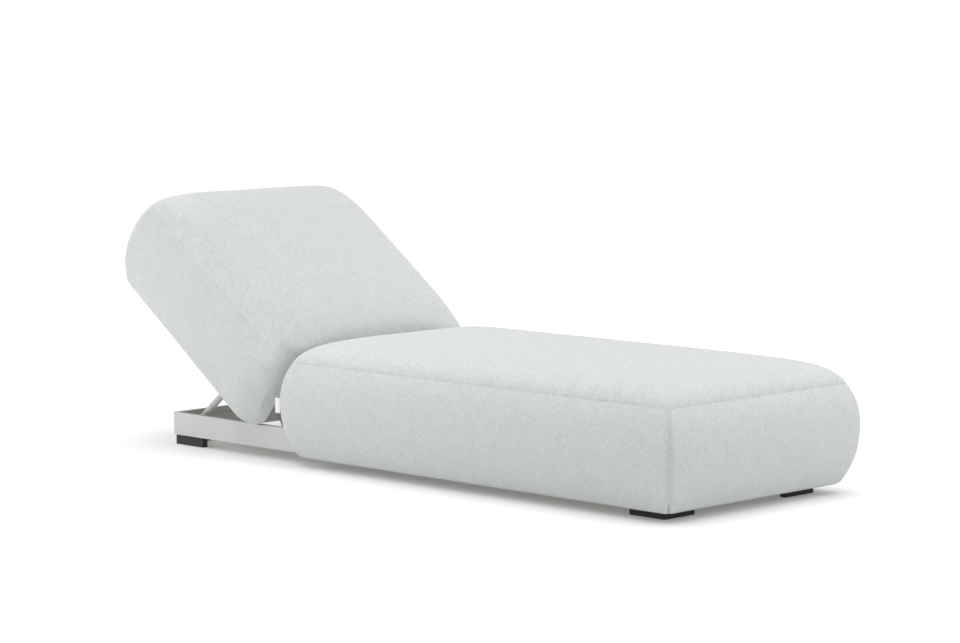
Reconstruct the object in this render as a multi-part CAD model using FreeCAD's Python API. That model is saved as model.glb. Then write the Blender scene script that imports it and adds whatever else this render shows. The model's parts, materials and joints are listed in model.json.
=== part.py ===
"""Upholstered relaxation lounger on a low rail frame, with a backrest that lifts as it slides.

X runs from the head end to the foot end, Y to the lying person's left, Z up, millimetres.
Everything is first drawn with the backrest lying flat. The backrest and its struts are then
turned to the raised position of the rest pose, and the whole lounger is centred on its origin.
"""
import FreeCAD, Part
import math
import os

# Base frame: four hollow rails on four L-shaped feet
base_length = 1900.0
base_width = 602.0
rail_height = 66.0
rail_thickness = 15.0
rail_wall = 3.0
rail_overhang = 7.0
rail_corner_radius = 10.0
rail_edge_radius = 1.5
foot_height = 28.5
foot_leg_length = 120.0
foot_leg_width = 118.0
foot_leg_thickness = 20.0
foot_edge_chamfer = 2.0
gusset_leg = 126.0
gusset_width = 30.0
gusset_thickness = 4.0
foot_screw_radius = 2.5
foot_screw_head_radius = 4.5
foot_screw_head_height = 3.0
foot_screw_head_recess = 2.0
foot_screw_setback = 14.0
foot_screw_reach = 2.5
screw_sides = 6

# Seat platform: cross bars between the rails, slats over them
crossbar_width = 40.0
crossbar_height = 20.0
crossbar_wall = 2.0
crossbar_place_shares = (0.05, 0.5, 0.95)
seat_slat_count = 9
seat_slat_width_share = 0.68
seat_slat_thickness = 12.0
slat_edge_chamfer = 2.0
slat_screw_radius = 3.0
slat_screw_head_radius = 5.5
slat_screw_head_height = 2.5

# Upholstery shared by the seat block and the backrest block
skirt_height = 23.0
seam_rise = 269.0
widest_rise = 162.0
bulge_at_hem = 43.0
bulge_widest = 84.4
bulge_at_seam = 62.0
bulge_power = 2.35
upright_corner_radius = 11.0
largest_corner_share = 0.86
seam_groove = 2.0
seam_band = 6.0
corner_flats = 6
side_level_shares = (0.0, 0.12, 0.26, 0.42, 0.58, 0.74, 0.88, 1.0)
crown_level_angles = (19.0, 32.0, 45.0, 58.0, 72.0, 85.0)
lining_side_shares = (0.0, 0.26, 0.58, 0.88, 1.0)
lining_crown_angles = (32.0, 58.0, 85.0)
cover_wall = 3.0
foam_clearance = 0.3
recess_clearance = 6.0

# Seat block, with a soft low crown
seat_crown_rise = 353.0
seat_crown_power = 2.6
seat_corner_power = 0.35
seat_largest_corner = 62.0

# Backrest block, drawn lying flat, with a fuller and squarer crown
back_head_overhang = 123.0
back_tip_end = 527.0
back_tip_gap = 18.6
back_seam_setback = 10.0
back_end_fullness = 4.0
back_crown_rise = 357.0
back_crown_power = 4.0
back_corner_power = 1.5
back_largest_corner = 170.0
tip_rise = 55.0
tip_curve_length = 126.0
back_recess_wall = 8.0

# Backrest frame
back_tube_width = 30.0
back_tube_height = 20.0
back_tube_wall = 2.0
back_frame_clearance = 4.0
back_tube_head_setback = 19.0
back_tube_foot_setback = 52.0
back_cross_place_shares = (0.05, 0.5, 0.95)
back_slat_count = 6
back_slat_width_share = 0.78
back_slat_overhang = 38.5
back_slat_thickness = 10.0
end_cap_rim = 2.5
end_cap_depth = 12.0
end_cap_clearance = 0.2

# Lifting linkage: equal strut and hinge arm, so that the axle slides level along the rails.
# With the backrest flat, the axle lies past the backrest's tip by the overreach.
strut_foot_place = 53.0
strut_foot_height = 58.0
axle_overreach = 47.9
strut_rest_angle = 39.6
back_rest_angle = 36.2
highest_lift = 20.0
strut_tube_radius = 10.0
strut_tube_wall = 2.0
strut_eye_radius = 12.0
strut_eye_width = 20.0
strut_crossbar_place = 55.0
strut_crossbar_radius = 8.0
pin_radius = 5.0
running_clearance = 0.05
bush_wall = 2.0
fixed_clearance = 0.02
side_clearance = 0.5
boss_flat_radius = 13.0
boss_length = 14.5
washer_thickness = 1.2
washer_radius = 9.5
washer_sides = 12
nut_flat_radius = 8.0
nut_thickness = 6.0
bolt_head_flat_radius = 8.0
bolt_head_height = 4.0
hinge_plate_thickness = 6.0
hinge_plate_lug_radius = 16.0
hinge_plate_waist = 13.0
axle_radius = 6.0
sleeve_radius = 9.0
slide_clearance = 0.3
guide_thickness = 8.0
rack_height = 15.0
keeper_height = 10.0
guide_end_margin = 16.0
notch_lift_angles = (-27.0, -18.0, -9.0, 0.0, 9.0, 18.0)
notch_ramp_length = 24.0
notch_depth = 8.0

# Care tag in the corner seam, bare
tag_reach = 17.0
tag_height = 43.0
tag_thickness = 0.8
tag_rise = 127.0
tag_seam_gap = 0.3
tag_heading = 190.0

# Overrun that every cut takes past the faces that it opens
cut_overrun = 1.0

# Places that follow from the sizes above
frame_half_width = base_width / 2 + rail_overhang
rail_inside = frame_half_width - rail_thickness
rail_head_face = -rail_overhang
rail_foot_face = base_length + rail_overhang
rail_top = foot_height + rail_height
seat_head_base = back_tip_end + back_tip_gap + bulge_widest
seat_length = base_length - seat_head_base
back_seam_end = back_tip_end - back_seam_setback
block_half_width = base_width / 2
slat_top = rail_top + seat_slat_thickness
recess_half_width = frame_half_width + recess_clearance
back_tube_bottom = rail_top + back_frame_clearance
back_tube_top = back_tube_bottom + back_tube_height
back_slat_top = back_tube_top + back_slat_thickness
strut_plane = rail_inside - boss_length - side_clearance - strut_eye_width / 2
back_tube_outside = strut_plane - strut_eye_width / 2 - side_clearance - hinge_plate_thickness
back_tube_inside = back_tube_outside - back_tube_width
back_tube_head = back_tube_head_setback - back_head_overhang
back_tube_foot = back_seam_end - back_tube_foot_setback
strut_flat_angle = strut_rest_angle - back_rest_angle
axle_travel_reach = back_tip_end + axle_overreach - strut_foot_place
strut_length = axle_travel_reach / (2 * math.cos(math.radians(strut_flat_angle)))
eye_outside = strut_plane + strut_eye_width / 2
eye_inside = strut_plane - strut_eye_width / 2
guide_inside = rail_inside - guide_thickness

UP = FreeCAD.Vector(0, 0, 1)
ACROSS = FreeCAD.Vector(0, 1, 0)
ALONG = FreeCAD.Vector(1, 0, 0)
SIDES = (("left", 1), ("right", -1))
CROSSBAR_NAMES = ("head", "middle", "foot")


def vec(x, y, z):
    return FreeCAD.Vector(x, y, z)


def block(x_from, x_to, y_from, y_to, z_from, z_to):
    """Box between two corners, given in any order."""
    low = vec(min(x_from, x_to), min(y_from, y_to), min(z_from, z_to))
    return Part.makeBox(abs(x_to - x_from), abs(y_to - y_from), abs(z_to - z_from), low)


def rod(radius, y_from, y_to, x, z):
    """Round bar that lies across the lounger."""
    return Part.makeCylinder(radius, abs(y_to - y_from), vec(x, min(y_from, y_to), z), ACROSS)


def ring(radius, bore, y_from, y_to, x, z):
    outer = rod(radius, y_from, y_to, x, z)
    low, high = min(y_from, y_to), max(y_from, y_to)
    return outer.cut(rod(bore, low - cut_overrun, high + cut_overrun, x, z))


def flat_sided(flat_radius, sides, y_from, y_to, x, z):
    """Bar across the lounger with flat sides, such as a hexagon, and a flat on top."""
    corner = flat_radius / math.cos(math.pi / sides)
    points = []
    for turn in range(sides + 1):
        angle = 2 * math.pi * turn / sides
        points.append(vec(x + corner * math.cos(angle), y_from, z + corner * math.sin(angle)))
    return Part.Face(Part.makePolygon(points)).extrude(vec(0, y_to - y_from, 0))


def bored(shape, pin, y_from, y_to, x, z):
    """The shape with a hole round a pin, drawn with flats because there are many."""
    low, high = sorted((y_from, y_to))
    return shape.cut(flat_sided(pin + fixed_clearance, washer_sides, low - cut_overrun,
                                high + cut_overrun, x, z))


def washer(y_from, y_to, x, z):
    return bored(flat_sided(washer_radius, washer_sides, y_from, y_to, x, z), pin_radius, y_from, y_to,
                 x, z)


def nut(y_from, y_to, x, z):
    return bored(flat_sided(nut_flat_radius, 6, y_from, y_to, x, z), pin_radius, y_from, y_to, x, z)


def stacked(outlines):
    """Solid through level outlines, with one flat face between each pair of parallel edges."""
    ends = [Part.Face(Part.makePolygon(outline + [outline[0]])) for outline in (outlines[0], outlines[-1])]
    sides = []
    for low, high in zip(outlines, outlines[1:]):
        for k in range(len(low)):
            sides.append(Part.Face(Part.makePolygon([low[k - 1], low[k], high[k], high[k - 1], low[k - 1]])))
    shell = Part.makeShell(ends + sides)
    shell.sewShape()
    return Part.makeSolid(shell)


def upright_bar(x, y, levels):
    """Upright bar with few sides through levels, each (height, radius to the corners)."""
    outlines = []
    for z, radius in levels:
        turns = [2 * math.pi * turn / screw_sides for turn in range(screw_sides)]
        outlines.append([vec(x + radius * math.cos(turn), y + radius * math.sin(turn), z) for turn in turns])
    return stacked(outlines)


def prism(points, height):
    """Upright prism over a closed outline of XY points at one height."""
    return Part.Face(Part.makePolygon(points + [points[0]])).extrude(vec(0, 0, height))


def export(name, shape):
    shapes[name] = shape


shapes = {}


# Rails

def rail_edge_rounds(rail):
    """The long edges of a drawn rail, which run level along one axis and lie on its outside."""
    longest = max(edge.Length for edge in rail.Edges)
    picked = []
    for edge in rail.Edges:
        low, high = edge.BoundBox.ZMin, edge.BoundBox.ZMax
        on_face = abs(low - foot_height) < rail_edge_radius or abs(high - rail_top) < rail_edge_radius
        if edge.Length > longest / 2 and on_face and high - low < rail_edge_radius:
            picked.append(edge)
    return picked


def mitred_rail(outer, inner):
    """Hollow rail over two parallel lines, mitred at both ends.

    outer and inner are the end points of the rail's outer and inner faces.
    """
    (a, b), (c, d) = outer, inner
    solid = prism([vec(*a, foot_height), vec(*b, foot_height), vec(*d, foot_height),
                   vec(*c, foot_height)], rail_height)
    solid = solid.makeFillet(rail_edge_radius, rail_edge_rounds(solid))
    wall_share = rail_wall / rail_thickness
    floor = foot_height + rail_wall

    def between(p, q, share):
        return vec(p[0] + (q[0] - p[0]) * share, p[1] + (q[1] - p[1]) * share, floor)

    hollow = [between(a, c, wall_share), between(b, d, wall_share),
              between(b, d, 1 - wall_share), between(a, c, 1 - wall_share)]
    return solid.cut(prism(hollow, rail_height - 2 * rail_wall))


def frame_envelope():
    """Upright prism with the rounded outside corners of the rail frame."""
    body = block(rail_head_face, rail_foot_face, -frame_half_width, frame_half_width,
                 foot_height, rail_top)
    upright = [edge for edge in body.Edges if edge.BoundBox.ZLength > rail_height / 2]
    return body.makeFillet(rail_corner_radius, upright)


def build_rails():
    envelope = frame_envelope()
    head_in = rail_head_face + rail_thickness
    foot_in = rail_foot_face - rail_thickness
    for name, side in SIDES:
        outer = ((rail_head_face, side * frame_half_width), (rail_foot_face, side * frame_half_width))
        inner = ((head_in, side * rail_inside), (foot_in, side * rail_inside))
        export("side_rail_" + name, mitred_rail(outer, inner).common(envelope))
    for name, face, inside in (("head", rail_head_face, head_in), ("foot", rail_foot_face, foot_in)):
        outer = ((face, -frame_half_width), (face, frame_half_width))
        inner = ((inside, -rail_inside), (inside, rail_inside))
        export(name + "_rail", mitred_rail(outer, inner).common(envelope))


# Feet, their corner gussets and screws

def l_outline(corner, toward, leg_x, leg_y, width, z):
    """L-shaped outline from its outer corner, with legs along X and Y."""
    (x, y), (along, across) = corner, toward
    points = [(0, 0), (leg_x, 0), (leg_x, width), (width, width), (width, leg_y), (0, leg_y)]
    return [vec(x + along * u, y + across * v, z) for u, v in points]


def foot_screw_points(corner, toward):
    (x, y), (along, across) = corner, toward
    reach = foot_screw_setback
    return [(x + along * (foot_leg_length - reach), y + across * reach),
            (x + along * reach, y + across * (foot_leg_width - reach))]


def build_feet():
    screws = []
    for end, x, along in (("head", 0.0, 1), ("foot", base_length, -1)):
        for name, side in SIDES:
            corner, toward = (x, side * block_half_width), (along, -side)
            foot = prism(l_outline(corner, toward, foot_leg_length, foot_leg_width,
                                   foot_leg_thickness, 0.0), foot_height)
            foot = foot.makeChamfer(foot_edge_chamfer, [edge for edge in foot.Edges
                                                        if edge.BoundBox.ZLength > foot_height / 2])
            gusset_corner = (x + along * (rail_thickness - rail_overhang), side * rail_inside)
            gusset = prism(l_outline(gusset_corner, toward, gusset_leg, gusset_leg, gusset_width,
                                     foot_height), gusset_thickness)
            neck = foot_screw_head_recess + foot_screw_head_height
            shank_top = foot_height + gusset_thickness + foot_screw_reach
            head_hole = foot_screw_head_radius + fixed_clearance
            shank_hole = foot_screw_radius + fixed_clearance
            for px, py in foot_screw_points(corner, toward):
                hole = upright_bar(px, py, [(-cut_overrun, head_hole), (foot_screw_head_recess, head_hole),
                                            (neck, shank_hole), (shank_top + cut_overrun, shank_hole)])
                foot = foot.cut(hole)
                gusset = gusset.cut(hole)
                screws.append(upright_bar(px, py, [(foot_screw_head_recess, foot_screw_head_radius),
                                                   (neck, foot_screw_radius),
                                                   (shank_top, foot_screw_radius)]))
            export("corner_foot_%s_%s" % (end, name), foot)
            export("foot_gusset_%s_%s" % (end, name), gusset)
    export("foot_screws", Part.makeCompound(screws))


# Seat platform

def hollow_bar(x_from, x_to, y_from, y_to, z_from, z_to, wall, along_y):
    """Rectangular tube, open at both ends."""
    outer = block(x_from, x_to, y_from, y_to, z_from, z_to)
    if along_y:
        bore = block(x_from + wall, x_to - wall, y_from - cut_overrun, y_to + cut_overrun,
                     z_from + wall, z_to - wall)
    else:
        bore = block(x_from - cut_overrun, x_to + cut_overrun, y_from + wall, y_to - wall,
                     z_from + wall, z_to - wall)
    return outer.cut(bore)


def slat(x_from, x_to, half_length, z_from, z_to):
    """Board across the frame, chamfered along its two upper edges."""
    board = block(x_from, x_to, -half_length, half_length, z_from, z_to)
    upper = [edge for edge in board.Edges
             if edge.BoundBox.YLength > half_length and edge.BoundBox.ZMin > (z_from + z_to) / 2]
    return board.makeChamfer(slat_edge_chamfer, upper)


def slat_row(x_from, x_to, count, width_share, half_length, z_from, z_to):
    """Evenly spaced boards, each as (board, middle of its width)."""
    pitch = (x_to - x_from) / (count - 1 + width_share)
    width = pitch * width_share
    row = []
    for index in range(count):
        start = x_from + index * pitch
        row.append((slat(start, start + width, half_length, z_from, z_to), start + width / 2))
    return row


def slat_screws(places, across, bottom, top):
    """Countersunk screws down through the slats, one on each side."""
    levels = [(bottom, slat_screw_radius), (top - slat_screw_head_height, slat_screw_radius),
              (top, slat_screw_head_radius)]
    return [upright_bar(x, side * across, levels) for x in places for side in (1, -1)]


def drill(shape, places, across, bottom, top):
    """Holes for the same screws, whose heads are level with top."""
    shank, head = slat_screw_radius + fixed_clearance, slat_screw_head_radius + fixed_clearance
    levels = [(bottom - cut_overrun, shank), (top - slat_screw_head_height, shank), (top, head),
              (top + cut_overrun, head)]
    for x in places:
        for side in (1, -1):
            shape = shape.cut(upright_bar(x, side * across, levels))
    return shape


def build_seat_platform():
    for name, share in zip(CROSSBAR_NAMES, crossbar_place_shares):
        middle = seat_head_base + share * seat_length
        bar = hollow_bar(middle - crossbar_width / 2, middle + crossbar_width / 2,
                         -rail_inside, rail_inside, rail_top - crossbar_height, rail_top,
                         crossbar_wall, True)
        export("seat_crossbar_" + name, bar)
    row = slat_row(seat_head_base, base_length, seat_slat_count, seat_slat_width_share,
                   block_half_width, rail_top, slat_top)
    across = (rail_inside + block_half_width) / 2
    places = [x for board, x in row]
    bottom = rail_top - rail_wall
    boards = [drill(board, [x], across, bottom, slat_top) for board, x in row]
    export("seat_slats", Part.makeCompound(boards))
    export("seat_slat_screws", Part.makeCompound(slat_screws(places, across, bottom, slat_top)))
    for name, side in SIDES:
        node = "side_rail_" + name
        shapes[node] = drill(shapes[node], places, across, bottom, slat_top)


# Upholstery

def bulge(rise):
    """How far a side stands out past the base rectangle, at a height over the hem."""
    if rise < widest_rise:
        drop = (bulge_widest - bulge_at_hem) * ((widest_rise - rise) / widest_rise) ** bulge_power
    else:
        span = seam_rise - widest_rise
        drop = (bulge_widest - bulge_at_seam) * ((rise - widest_rise) / span) ** bulge_power
    return bulge_widest - drop


def crown_bulge(angle, power, reach):
    """The same over the seam, on a flattened oval that ends level at 90 degrees.

    reach is the way from the seam to the middle of the panel's narrower span.
    """
    return bulge_at_seam - reach * (1 - math.cos(math.radians(angle)) ** (2 / power))


def crown_share(angle, power):
    """Share of the crown's rise at the same angle."""
    return math.sin(math.radians(angle)) ** (2 / power)


def crown_angle(share, power):
    return math.degrees(math.asin(share ** (power / 2)))


def plain_end(base, outward):
    """End of a block that bulges as its sides do."""
    def end(out):
        return base + outward * out
    return lambda rise: end(bulge(rise)), lambda out: end(out)


def flatter_end():
    """Foot end of the backrest block, flatter than its sides so that it meets the seat block."""
    seam_base = back_seam_end - bulge_at_seam

    def below(rise):
        share = (rise - tip_rise) / (seam_rise - tip_rise)
        fullness = 4 * back_end_fullness * share * (1 - share)
        return back_tip_end + (back_seam_end - back_tip_end) * share + fullness
    return below, lambda out: seam_base + out


def rounded_section(x_low, x_high, half, radius, z):
    """Level closed outline with four straight sides and four corners rounded in short flats."""
    points = []
    corners = ((x_high, half, 1, 1), (x_low, half, -1, 1), (x_low, -half, -1, -1), (x_high, -half, 1, -1))
    for quarter, (x, y, along, across) in enumerate(corners):
        for step in range(corner_flats + 1):
            angle = math.pi / 2 * (quarter + step / corner_flats)
            points.append(vec(x + radius * (math.cos(angle) - along),
                              y + radius * (math.sin(angle) - across), z))
    return points


def padded_block(ends, crown, inset):
    """Boxed cushion block: mitred sides with a crowned top panel over a seam groove.

    Each end is a pair of functions, one of the rise below the seam and one of the crown's bulge.
    crown holds the crown's rise and power, and the same two of the corners' radius in plan.
    Inside the cover, where inset is more than zero, the same levels are fewer.
    """
    head_end, foot_end = ends
    crown_rise, crown_power, largest_corner, corner_power = crown
    seam_span = foot_end[1](bulge_at_seam) - head_end[1](bulge_at_seam)
    reach = min(block_half_width + bulge_at_seam, seam_span / 2)

    def section(rise, out, x_low, x_high, groove):
        half = block_half_width + out - inset - groove
        x_from, x_to = x_low + inset + groove, x_high - inset - groove
        share = max(0.0, rise - seam_rise) / (crown_rise - seam_rise)
        spread = (largest_corner - upright_corner_radius) * share ** corner_power
        largest = min(half, (x_to - x_from) / 2) * largest_corner_share
        return rounded_section(x_from, x_to, half, min(upright_corner_radius + spread, largest),
                               skirt_height + rise)

    def low_section(rise):
        return section(rise, bulge(rise), head_end[0](rise), foot_end[0](rise), 0.0)

    def high_section(angle, groove):
        rise = seam_rise + crown_share(angle, crown_power) * (crown_rise - inset - seam_rise)
        out = crown_bulge(angle, crown_power, reach)
        return section(rise, out, head_end[1](out), foot_end[1](out), groove)

    side_shares, crown_angles = side_level_shares, crown_level_angles
    if inset:
        side_shares, crown_angles = lining_side_shares, lining_crown_angles
    above_band = crown_angle(seam_band / (crown_rise - seam_rise), crown_power)
    below_band = seam_rise - seam_band
    levels = [low_section(inset + share * (below_band - inset)) for share in side_shares]
    levels += [high_section(0.0, seam_groove), high_section(above_band, 0.0)]
    levels += [high_section(angle, 0.0) for angle in crown_angles]
    return stacked(levels)


def upholstery(ends, crown, recess_box, trim):
    """Cover and foam of one block, both cut out round the frame under them."""
    x_from, x_to, half, ceiling = recess_box

    def recess(grow, top):
        return block(x_from - grow, x_to + grow, -half - grow, half + grow, -cut_overrun, top)

    foam_grow = cover_wall + foam_clearance
    outer = padded_block(ends, crown, 0.0)
    lining = padded_block(ends, crown, cover_wall)
    foam = padded_block(ends, crown, foam_grow)
    if trim:
        outer, lining, foam = (trim(outer, 0.0), trim(lining, cover_wall), trim(foam, foam_grow))
    lining = lining.cut(recess(cover_wall, ceiling - cover_wall))
    cover = outer.cut(recess(0.0, ceiling)).cut(lining)
    core = foam.cut(recess(foam_grow, ceiling))
    return cover, core


def trim_tip(shape, inset):
    """Rounds off the lower tips of the backrest's side skirts."""
    reach, rise = tip_curve_length - inset, tip_rise - inset
    centre = vec(back_tip_end - tip_curve_length, 0, skirt_height + tip_rise)
    half = 2 * block_half_width
    waste = block(centre.x, back_tip_end + cut_overrun, -half, half, 0.0, centre.z)
    oval = Part.Ellipse(centre, reach, rise).toShape()
    oval.rotate(centre, ALONG, 90)
    oval.translate(vec(0, -half, 0))
    keep = Part.Face(Part.Wire(oval)).extrude(vec(0, 2 * half, 0))
    return shape.cut(waste.cut(keep))


def build_seat_block():
    ends = plain_end(seat_head_base, -1), plain_end(base_length, 1)
    crown = seat_crown_rise, seat_crown_power, seat_largest_corner, seat_corner_power
    recess_box = (seat_head_base - 2 * bulge_widest, rail_foot_face + recess_clearance,
                  recess_half_width, slat_top + foam_clearance)
    cover, core = upholstery(ends, crown, recess_box, None)
    export("seat_cover", cover)
    export("seat_core", core)


def build_back_block():
    ends = plain_end(-back_head_overhang, -1), flatter_end()
    crown = back_crown_rise, back_crown_power, back_largest_corner, back_corner_power
    recess_box = (-back_head_overhang + back_recess_wall, back_tip_end + 2 * bulge_widest,
                  recess_half_width, back_slat_top + foam_clearance)
    cover, core = upholstery(ends, crown, recess_box, trim_tip)
    export("back_cover", cover)
    export("back_core", core)


def build_tag():
    """Small blank tag that stands out of the near head corner seam, towards the head end."""
    reach = bulge(tag_rise + tag_height / 2) + tag_seam_gap - upright_corner_radius * (1 - math.sqrt(0.5))
    root = vec(seat_head_base - reach, -block_half_width - reach, skirt_height + tag_rise)
    tag = Part.makeBox(tag_reach, tag_thickness, tag_height, root)
    tag.translate(vec(0, -tag_thickness / 2, 0))
    tag.rotate(root, UP, tag_heading)
    export("care_tag", tag)


# Backrest frame

def build_back_frame():
    for name, side in SIDES:
        y_in, y_out = sorted((side * back_tube_inside, side * back_tube_outside))
        tube = hollow_bar(back_tube_head, back_tube_foot, y_in, y_out, back_tube_bottom, back_tube_top,
                          back_tube_wall, False)
        export("back_side_tube_" + name, tube)
    length = back_tube_foot - back_tube_head
    for name, share in zip(CROSSBAR_NAMES, back_cross_place_shares):
        middle = back_tube_head + share * length
        tube = hollow_bar(middle - back_tube_width / 2, middle + back_tube_width / 2,
                          -back_tube_inside, back_tube_inside, back_tube_bottom, back_tube_top,
                          back_tube_wall, True)
        export("back_cross_tube_" + name, tube)
    caps = []
    gap = back_tube_wall + end_cap_clearance
    for side in (1, -1):
        y_in, y_out = sorted((side * back_tube_inside, side * back_tube_outside))
        for face, out in ((back_tube_head, -1), (back_tube_foot, 1)):
            rim = block(face, face + out * end_cap_rim, y_in, y_out, back_tube_bottom, back_tube_top)
            plug = block(face, face - out * end_cap_depth, y_in + gap, y_out - gap,
                         back_tube_bottom + gap, back_tube_top - gap)
            caps.append(rim.fuse(plug))
    export("tube_end_caps", Part.makeCompound(caps))
    row = slat_row(back_tube_head, back_tube_foot, back_slat_count, back_slat_width_share,
                   back_tube_outside + back_slat_overhang, back_tube_top, back_slat_top)
    across = (back_tube_inside + back_tube_outside) / 2
    places = [x for board, x in row]
    bottom = back_tube_top - back_tube_wall
    boards = [drill(board, [x], across, bottom, back_slat_top) for board, x in row]
    export("back_slats", Part.makeCompound(boards))
    export("back_slat_screws", Part.makeCompound(slat_screws(places, across, bottom, back_slat_top)))
    for name, side in SIDES:
        node = "back_side_tube_" + name
        shapes[node] = drill(shapes[node], places, across, bottom, back_slat_top)


# Lifting linkage

def strut_point(angle, distance):
    """Point on a strut's axis, at a distance from its foot pin."""
    turn = math.radians(angle)
    return (strut_foot_place + distance * math.cos(turn),
            strut_foot_height + distance * math.sin(turn))


def axle_point(angle):
    """The axle, level with the foot pins for every angle of the strut."""
    return strut_foot_place + 2 * strut_length * math.cos(math.radians(angle)), strut_foot_height


def build_struts():
    foot = (strut_foot_place, strut_foot_height)
    top = strut_point(strut_flat_angle, strut_length)
    cross = strut_point(strut_flat_angle, strut_crossbar_place)
    along = vec(top[0] - foot[0], 0, top[1] - foot[1])
    bushes = []
    bush_radius = pin_radius + running_clearance + bush_wall
    for name, side in SIDES:
        y_mid = side * strut_plane
        y_from, y_to = side * eye_inside, side * eye_outside
        outer = Part.makeCylinder(strut_tube_radius, strut_length, vec(foot[0], y_mid, foot[1]), along)
        bore = Part.makeCylinder(strut_tube_radius - strut_tube_wall, strut_length,
                                 vec(foot[0], y_mid, foot[1]), along)
        tube = outer.cut(bore)
        for x, z in (foot, top):
            tube = tube.cut(rod(strut_eye_radius, y_from, y_to, x, z))
        for x, z in (foot, top):
            eye = ring(strut_eye_radius, bush_radius + fixed_clearance, y_from, y_to, x, z)
            tube = tube.fuse(eye)
            bushes.append(ring(bush_radius, pin_radius + running_clearance, y_from, y_to, x, z))
        export("strut_tube_" + name, tube)
    export("strut_bushes", Part.makeCompound(bushes))
    bar = rod(strut_crossbar_radius, -strut_plane, strut_plane, *cross)
    bar = bar.cut(rod(strut_crossbar_radius - strut_tube_wall, -strut_plane - cut_overrun,
                      strut_plane + cut_overrun, *cross))
    for side in (1, -1):
        saddle = Part.makeCylinder(strut_tube_radius, strut_length,
                                   vec(foot[0], side * strut_plane, foot[1]), along)
        bar = bar.cut(saddle)
    export("strut_cross_tube", max(bar.Solids, key=lambda solid: solid.Volume))


def build_foot_pivots():
    """Shoulder studs on the rails, with the washers and nuts that keep the struts on them."""
    nuts = []
    x, z = strut_foot_place, strut_foot_height
    for name, side in SIDES:
        boss = flat_sided(boss_flat_radius, 6, side * rail_inside, side * (rail_inside - boss_length), x, z)
        washer_outer = eye_inside - side_clearance
        washer_inner = washer_outer - washer_thickness
        nut_inner = washer_inner - nut_thickness
        stud = rod(pin_radius, side * rail_inside, side * nut_inner, x, z)
        export("strut_foot_stud_" + name, boss.fuse(stud).removeSplitter())
        nuts.append(washer(side * washer_outer, side * washer_inner, x, z))
        nuts.append(nut(side * washer_inner, side * nut_inner, x, z))
    export("strut_foot_nuts", Part.makeCompound(nuts))


def build_top_pivots():
    """Bolts through the struts' upper eyes into the hinge plates."""
    bolts, nuts = [], []
    x, z = strut_point(strut_flat_angle, strut_length)
    plate_inside = back_tube_outside
    for side in (1, -1):
        washer_inner = eye_outside + side_clearance
        washer_outer = washer_inner + washer_thickness
        head_outer = washer_outer + bolt_head_height
        nut_inner = plate_inside - nut_thickness
        shank = rod(pin_radius, side * nut_inner, side * washer_outer, x, z)
        head = flat_sided(bolt_head_flat_radius, 6, side * washer_outer, side * head_outer, x, z)
        bolts.append(shank.fuse(head).removeSplitter())
        nuts.append(washer(side * washer_inner, side * washer_outer, x, z))
        nuts.append(nut(side * plate_inside, side * nut_inner, x, z))
    export("strut_top_bolts", Part.makeCompound(bolts))
    export("strut_top_nuts", Part.makeCompound(nuts))


def tangent_flank(centre_a, radius_a, centre_b, radius_b, side):
    """End points of the line that touches two circles on one side."""
    dx, dz = centre_b[0] - centre_a[0], centre_b[1] - centre_a[1]
    distance = math.hypot(dx, dz)
    heading = math.atan2(dz, dx)
    lean = math.acos((radius_a - radius_b) / distance)
    angle = heading + side * lean
    reach = (math.cos(angle), math.sin(angle))
    return ((centre_a[0] + radius_a * reach[0], centre_a[1] + radius_a * reach[1]),
            (centre_b[0] + radius_b * reach[0], centre_b[1] + radius_b * reach[1]))


def link_plate(points, y_from, y_to):
    """Flat link over a chain of round lobes, each (x, z, radius)."""
    plate = None
    for (xa, za, ra), (xb, zb, rb) in zip(points, points[1:]):
        upper = tangent_flank((xa, za), ra, (xb, zb), rb, 1)
        lower = tangent_flank((xa, za), ra, (xb, zb), rb, -1)
        corners = [vec(p[0], y_from, p[1]) for p in (upper[0], upper[1], lower[1], lower[0])]
        web = Part.Face(Part.makePolygon(corners + [corners[0]])).extrude(vec(0, y_to - y_from, 0))
        link = web.fuse([rod(ra, y_from, y_to, xa, za), rod(rb, y_from, y_to, xb, zb)])
        plate = link if plate is None else plate.fuse(link)
    return plate.removeSplitter()


def build_hinge_plates():
    """Plates on the backrest tubes that carry the struts' upper bolts and the sliding axle."""
    pivot = strut_point(strut_flat_angle, strut_length)
    axle = axle_point(strut_flat_angle)
    knee = (back_tube_foot - hinge_plate_lug_radius, back_tube_top - hinge_plate_lug_radius)
    y_from, y_to = back_tube_outside, back_tube_outside + hinge_plate_thickness
    for name, side in SIDES:
        lobes = [(pivot[0], pivot[1], hinge_plate_lug_radius), (knee[0], knee[1], hinge_plate_lug_radius),
                 (axle[0], axle[1], hinge_plate_waist)]
        plate = link_plate(lobes, side * y_from, side * y_to)
        weld = block(pivot[0] - hinge_plate_lug_radius, knee[0], side * y_from, side * y_to,
                     pivot[1], back_tube_top)
        plate = plate.fuse(weld).removeSplitter()
        low, high = y_from - cut_overrun, y_to + cut_overrun
        plate = plate.cut(rod(pin_radius + fixed_clearance, side * low, side * high, *pivot))
        plate = plate.cut(rod(axle_radius + fixed_clearance, side * low, side * high, *axle))
        export("hinge_plate_" + name, plate)


def build_axle():
    """Cross axle of the backrest, with the nylon sleeves that slide between rack and keeper."""
    x, z = axle_point(strut_flat_angle)
    end = rail_inside - side_clearance
    export("slide_axle", rod(axle_radius, -end, end, x, z))
    inner = back_tube_outside + hinge_plate_thickness
    for name, side in SIDES:
        sleeve = rod(sleeve_radius, side * inner, side * end, x, z)
        export("axle_sleeve_" + name, bored(sleeve, axle_radius, side * inner, side * end, x, z))


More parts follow.
